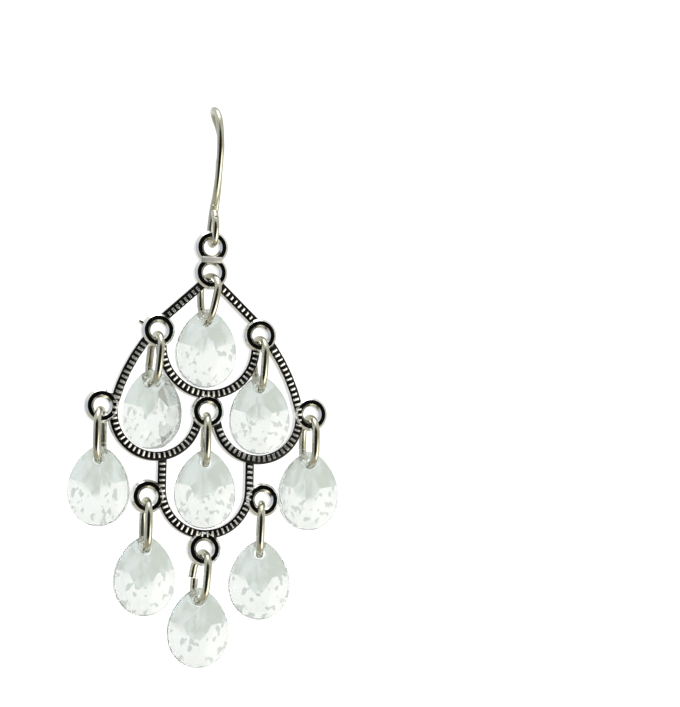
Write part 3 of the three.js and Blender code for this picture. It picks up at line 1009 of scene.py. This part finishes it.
def build_casting():
    sides = [side_course(), shoulder_course()]
    clear = [outside_rims(upper_eyelet, centre_eyelet), outside_rims(top_eyelet, upper_eyelet)]
    middle = [top_course(), low_course()]
    middle_clear = [outside_rims(upper_eyelet, mirrored(upper_eyelet)), below_side_hoops]
    flip = Matrix.Scale(-1, 4, (1, 0, 0))
    strips = [lay_strip(legs) for legs in sides]
    strips += [copy_of(strip, flip) for strip in strips]
    strips += [lay_strip(legs, shy) for legs, shy in zip(middle, (STRIP_SHY, 2 * STRIP_SHY))]
    places = [hook_eyelet] + [hanger[0] for hanger in HANGERS.values()]
    cores = hole_cores(places)
    for strip in strips:
        close_up(strip)
        cut_by(strip, cores)
    bpy.data.objects.remove(cores)
    rib = model_rib()
    ribs = []
    for legs, is_clear, share in zip(sides, clear, (1, SHOULDER_RIB)):
        ribs += [set_rib(rib, *spot, RIB_INSET, share) for spot in rib_places(legs, is_clear)]
    ribs += [copy_of(one, flip) for one in ribs]
    for legs, is_clear in zip(middle, middle_clear):
        ribs += [set_rib(rib, *spot) for spot in rib_places(legs, is_clear)]
    bpy.data.objects.remove(rib)
    bands = join(strips, "casting_bands")
    raised = join(ribs, "casting_ribs")
    close_up(raised)
    rims = join([cast_eyelet(place) for place in places] + [casting_stub()], "casting_eyelets")
    print("ribs:", len(ribs), "faces:", [len(piece.data.polygons) for piece in (bands, raised, rims)])
    return bands, raised, rims


bands, raised, rims = build_casting()
BAND_BLACK = casting_finish("blackened_band", ALL_DEPTHS, (0.3, 0.45), facing=0.4)
RIB_BRIGHT = casting_finish("polished_rib", (RIB_CREST, RIB_ROOT), (0.22, 0.36), patchy=1.2, metal=0.7)
# The eyelets' flat fronts are painted black: partly patina, partly a painted reflection of the dark camera
# side.
RIM_WITH_PAINTED_REFLECTION = casting_finish("polished_rim_painted_reflection", ALL_DEPTHS, (0.12, 0.25), facing=0.9)
neck = neck_bar()
NECK_BRIGHT = casting_finish("polished_neck", ALL_DEPTHS, (0.35, 0.5), facing=1.5, metal=0.35)
finish_with(neck, NECK_BRIGHT, "antiqued_casting", "hanging", smooth=60)
finish_with(bands, BAND_BLACK, "antiqued_casting", "hanging", "cast_frame")
finish_with(raised, RIB_BRIGHT, "antiqued_casting", "hanging", smooth=60)
finish_with(rims, RIM_WITH_PAINTED_REFLECTION, "antiqued_casting", "hanging", smooth=20)

# %% [markdown]
# A jump ring is a round ring that was pulled long by hand and pinched shut, so it has a cut. A
# torus is stretched in the middle for the long form. The cut is made by two close bisecting planes
# across the wire, and the sliver between them is deleted. Each cut has its share of the way round,
# its gap, and how far its upper end is pushed aside.

# %% Jump rings
RING_STEPS = 40
RING_SIDES = 20
RING_WIRE = 0.92 * MM
SLIVER = 0.49
CUTS = {"lower_left": (0.44, 0.11 * MM, 0), "bottom": (0.745, 0.06 * MM, 0.34 * MM)}
USUAL_CUT = (0.7, 0.05 * MM, 0.04 * MM)


def ring_spot(length, share):
    """Place and heading on the ring's centreline, at a share of its way round from the top down its front."""
    straight = length - 2 * jump_bend
    half = math.pi * jump_bend
    upper = -jump_bend
    lower = upper - straight

    def on_bend(angle, level):
        spot = Vector((0, jump_bend * math.cos(angle), level + jump_bend * math.sin(angle)))
        return spot, angle + math.pi / 2

    way = share * 2 * (straight + half) + half / 2
    if way < half:
        return on_bend(way / jump_bend, upper)
    way -= half
    if way < straight:
        return Vector((0, -jump_bend, upper - way)), -math.pi / 2
    way -= straight
    if way < half:
        return on_bend(math.pi + way / jump_bend, lower)
    way -= half
    if way < straight:
        return Vector((0, jump_bend, lower + way)), math.pi / 2
    return on_bend((way - straight) / jump_bend, upper)


def open_ring(ring, length, share, gap, shift):
    """Cuts a ring at a share of its way round and moves the end above the cut aside."""
    spot, heading = ring_spot(length, share)
    along = Vector((0, math.cos(heading), math.sin(heading)))

    def is_near(point):
        away = point - spot
        in_leg = abs(away.y) < RING_WIRE and abs(away.dot(along)) < length / 2
        return away.length < RING_WIRE + 2 * gap or in_leg

    for side in (-0.5, 0.5):
        pick_faces(ring, lambda face: is_near(face.center))
        bpy.ops.mesh.bisect(plane_co=spot + side * gap * along, plane_no=along, threshold=CUT_SNAP)
        bpy.ops.object.mode_set(mode="OBJECT")
    thin = SLIVER * gap
    pick_faces(ring, lambda face: is_near(face.center) and abs((face.center - spot).dot(along)) < thin)
    bpy.ops.mesh.delete(type="FACE")
    bpy.ops.mesh.select_mode(type="EDGE")
    bpy.ops.mesh.select_non_manifold()
    bpy.ops.mesh.fill_holes(sides=0)
    bpy.ops.object.mode_set(mode="OBJECT")
    for corner in ring.data.vertices:
        if corner.co.y > 0 and corner.co.z > spot.z:
            corner.co.x -= shift * max(0, 1 - (corner.co.z - spot.z) / -spot.z)


def model_ring(name, length):
    bpy.ops.mesh.primitive_torus_add(
        major_segments=RING_STEPS, minor_segments=RING_SIDES, major_radius=jump_bend,
        minor_radius=RING_WIRE / 2, rotation=(0, math.pi / 2, 0))
    ring = settle(bpy.context.object, name)
    stretch = length / 2 - jump_bend
    for sense in (1, -1):
        pick_corners(ring, lambda point: sense * point.z > 0.01 * MM)
        bpy.ops.transform.translate(value=(0, 0, sense * stretch))
        bpy.ops.object.mode_set(mode="OBJECT")
    ring.data.transform(Matrix.Translation((0, 0, -length / 2)))
    open_ring(ring, length, *CUTS.get(name, USUAL_CUT))
    return ring


def wring(ring, above, below):
    """Turns each level of a ring a little more than the level above it."""
    low = min(corner.co.z for corner in ring.data.vertices)
    for corner in ring.data.vertices:
        share = corner.co.z / low
        corner.co = Matrix.Rotation(math.radians(above + (below - above) * share), 3, "Z") @ corner.co


def hang_ring(name):
    place, ring_turn, _, lean, pulled = HANGERS[name]
    ring = model_ring(name, jump_drop + pulled)
    wring(ring, *WRUNG.get(name, (0, 0)))
    turn = Matrix.Rotation(math.radians(lean), 4, "Y") @ Matrix.Rotation(math.radians(ring_turn), 4, "Z")
    ring.data.transform(Matrix.Translation((place.x, 0, place.y + jump_top)) @ turn)
    close_up(ring)
    ring.name = f"ring_{name}"
    finish_with(ring, WIRE, "bright_wire", "hanging", f"jump_ring_{name}", smooth=40)
    return ring


rings = [hang_ring(name) for name in HANGERS]

# %% [markdown]
# A drop is a moulded stone. A pear-shaped slab is drawn from one formula. Flat planes take off the
# corners of its back: nine steep ones at the girdle, seven flatter ones above them and five nearly
# flat ones in the middle. Its front is drawn forward, first as a thin steep rim and then in
# shrinking rings that make a low smooth dome.

# %% The drop
OUTLINE_STEPS = 72
OUTLINE_POINT = 0.3
HOLE_STEPS = 40
DOME_RINGS = 12
DOME_HEIGHT = 1.15 * MM
RIM_RISE = 0.14 * MM
RIM_SIZE = 0.975
DOME_EDGE = math.radians(20)
DOME_DOWN = 0.55
DOME_MIDDLE = (0, 0, drop_tip - DOME_DOWN * DROP_HEIGHT)
BACK_ROWS = [
    {"count": 9, "tilt": 24, "rise": 0.15 * MM},
    {"count": 7, "tilt": 15, "rise": 0.6 * MM},
    {"count": 5, "tilt": 7, "rise": 1.05 * MM},
]


def pear_point(turn):
    """A point of the outline at a turn from the tip; half width in x, height in y."""
    widest = 0.909
    aside = math.sin(turn) * abs(math.sin(turn / 2)) ** OUTLINE_POINT / widest
    return Vector((aside * DROP_WIDTH / 2, drop_tip - DROP_HEIGHT * (1 - math.cos(turn)) / 2))


def pear_outward(turn):
    step = 0.001
    along = pear_point(turn + step) - pear_point(turn - step)
    return Vector((-along.y, along.x)).normalized()


def cut_facets(count, tilt, rise):
    """One row of planes round the back of the active stone, each tilted outwards where it cuts."""
    tilt = math.radians(tilt)
    for index in range(count):
        turn = 2 * math.pi * (index + 0.5) / count
        point = pear_point(turn)
        outward = pear_outward(turn)
        edit(bpy.ops.mesh.bisect, plane_co=(point.x, DROP_GIRDLE / 2 + rise, point.y),
             plane_no=(outward.x * math.sin(tilt), math.cos(tilt), outward.y * math.sin(tilt)),
             use_fill=True, clear_outer=True, threshold=CUT_SNAP)


def raise_dome(stone):
    """Draws the front face forward in shrinking rings until it is a smooth dome."""
    crown = 1 - math.cos(DOME_EDGE)
    pick_faces(stone, lambda face: face.normal.y < -0.9)
    bpy.ops.mesh.extrude_region_move(TRANSFORM_OT_translate={"value": (0, -RIM_RISE, 0)})
    bpy.ops.transform.resize(value=(RIM_SIZE, 1, RIM_SIZE), center_override=DOME_MIDDLE)
    size, rise = 1.0, 0.0
    for ring in range(1, DOME_RINGS + 1):
        angle = DOME_EDGE * (1 - ring / (DOME_RINGS + 0.5))
        new_size = math.sin(angle) / math.sin(DOME_EDGE)
        new_rise = DOME_HEIGHT * (math.cos(angle) - math.cos(DOME_EDGE)) / crown
        bpy.ops.mesh.extrude_region_move(TRANSFORM_OT_translate={"value": (0, rise - new_rise, 0)})
        bpy.ops.transform.resize(value=(new_size / size, 1, new_size / size), center_override=DOME_MIDDLE)
        size, rise = new_size, new_rise
    bpy.ops.object.mode_set(mode="OBJECT")


def model_drop():
    bpy.ops.mesh.primitive_circle_add(vertices=OUTLINE_STEPS, radius=1, fill_type="NGON",
                                      location=(0, -DROP_GIRDLE / 2, 0), rotation=(math.pi / 2, 0, 0))
    stone = settle(bpy.context.object, "stone")
    for corner in stone.data.vertices:
        outline = pear_point(math.atan2(corner.co.x, corner.co.z) % (2 * math.pi))
        corner.co.x, corner.co.z = outline
    depth = (DROP_THICKNESS + DROP_GIRDLE) / 2
    edit(bpy.ops.mesh.extrude_region_move, TRANSFORM_OT_translate={"value": (0, depth, 0)})
    close_up(stone)
    for row in BACK_ROWS:
        cut_facets(**row)
    raise_dome(stone)
    return stone


def drill(stone):
    bpy.ops.mesh.primitive_cylinder_add(vertices=HOLE_STEPS, radius=DROP_HOLE / 2, depth=2 * DROP_THICKNESS,
                                        location=(0, 0, jump_sag / 2), rotation=(math.pi / 2, 0, 0))
    bit = settle(bpy.context.object, "bit")
    cut_by(stone, bit)
    bpy.data.objects.remove(bit)


def open_edges(piece):
    """How many edges of a mesh don't lie between just two faces."""
    uses = Counter(key for face in piece.data.polygons for key in face.edge_keys)
    return sum(count != 2 for count in uses.values())


stone = model_drop()
drill(stone)
print("facets and walls of a drop:", len(stone.data.polygons), "open edges:", open_edges(stone))

# %% [markdown]
# Nine copies of the stone hang at the ends of their rings, each turned and leaned in its own way.

# %% The hanging drops
def hang_drop(name):
    place, _, drop_turn, lean, pulled = HANGERS[name]
    length = jump_drop + pulled
    lean = math.radians(lean)
    spot = Vector((place.x - length * math.sin(lean), 0, place.y + jump_top - length * math.cos(lean)))
    piece = copy_of(stone, Matrix.Translation(spot) @ Matrix.Rotation(math.radians(drop_turn), 4, "Z"))
    piece.name = f"pear_{name}"
    finish_with(piece, CLEAR, "clear_drop", "hanging", f"drop_{name}", smooth=8)
    return piece


pears = [hang_drop(name) for name in HANGERS]
bpy.data.objects.remove(stone)

# %% [markdown]
# The hook's solid is one bent wire with flat sides. A copy of it is merged, its triangles are
# paired to quads, and two subdivisions round it. Subdividing draws the wire in, so it is fattened
# first by what it will lose. Its rear leg is then tucked in behind the front leg, and two pinch
# marks are cut across its front.

# %% Ear hook
WIRE_LOSS = 0.085 * MM
WIRE_MERGE = 0.01 * MM
PAIRED_TURN = math.radians(60)
SUBDIVISIONS = 2
REAR_START = 1.5 * MM
REAR_REACH = 4 * MM
REAR_DOWN = 6 * MM
REAR_TUCK = 0.45 * MM
BEND_DOWN = 4.5 * MM
BEND_ASIDE = 0.24 * MM
HOOK_ASIDE = 0.21 * MM
NICK_RADIUS = 0.42 * MM
NICK_REACH = 0.3 * MM
NICK_WIDTH = 0.16 * MM
NICK_DEPTH = 0.36 * MM
NICK_TURN = math.radians(12)
NICK_HEIGHTS = (-11.5 * MM, -13.0 * MM)


def model_hook():
    source = frame["nodes"]["ear_hook"]
    hook = source.copy()
    hook.data = source.data.copy()
    for key in list(hook.keys()):
        del hook[key]
    hook.parent = None
    bpy.context.scene.collection.objects.link(hook)
    hook.name = "hook_wire"
    close_up(hook, WIRE_MERGE)
    edit(bpy.ops.mesh.tris_convert_to_quads, face_threshold=PAIRED_TURN, shape_threshold=PAIRED_TURN)
    edit(bpy.ops.transform.shrink_fatten, value=WIRE_LOSS)
    select_only(hook)
    bpy.ops.object.modifier_add(type="SUBSURF")
    hook.modifiers[-1].levels = SUBDIVISIONS
    hook.modifiers[-1].render_levels = SUBDIVISIONS
    bpy.ops.object.modifier_apply(modifier=hook.modifiers[-1].name)
    return hook


def tuck_rear_leg(hook):
    """Leans the rear leg towards the front leg's shadow, from the bend down."""
    top = max(corner.co.z for corner in hook.data.vertices)
    for corner in hook.data.vertices:
        back = min(max((corner.co.y - REAR_START) / REAR_REACH, 0), 1)
        down = min((top - corner.co.z) / REAR_DOWN, 1)
        near_top = max(1 - (top - corner.co.z) / BEND_DOWN, 0)
        corner.co.x += HOOK_ASIDE + REAR_TUCK * back * math.sin(math.pi * down) - BEND_ASIDE * near_top**2


def nick(hook, height):
    """A pinch mark across the front of the wire's lower leg."""
    near = [corner.co for corner in hook.data.vertices if abs(corner.co.z - height) < NICK_REACH]
    foremost = min(near, key=lambda point: point.y)
    bpy.ops.mesh.primitive_cylinder_add(
        vertices=32, radius=NICK_RADIUS, depth=NICK_WIDTH, rotation=(0, NICK_TURN, 0),
        location=(foremost.x, foremost.y - NICK_RADIUS + NICK_DEPTH, height))
    tool = settle(bpy.context.object, "pincer")
    cut_by(hook, tool)
    bpy.data.objects.remove(tool)


hook = model_hook()
tuck_rear_leg(hook)
for height in NICK_HEIGHTS:
    nick(hook, height)
finish_with(hook, WIRE, "bright_wire", "hook", "ear_hook", smooth=180)

# %% [markdown]
# The dressed earring's outer box is measured like the solids' box, and both boxes are printed. The
# dressed earring has to stay within a tenth of a millimetre of the solids' box.

# %% Sizes and finish
dressed_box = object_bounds()
for label, box in (("solids", cad_box), ("dressed", dressed_box)):
    print(label, [round(v / MM, 2) for corner in box for v in corner])
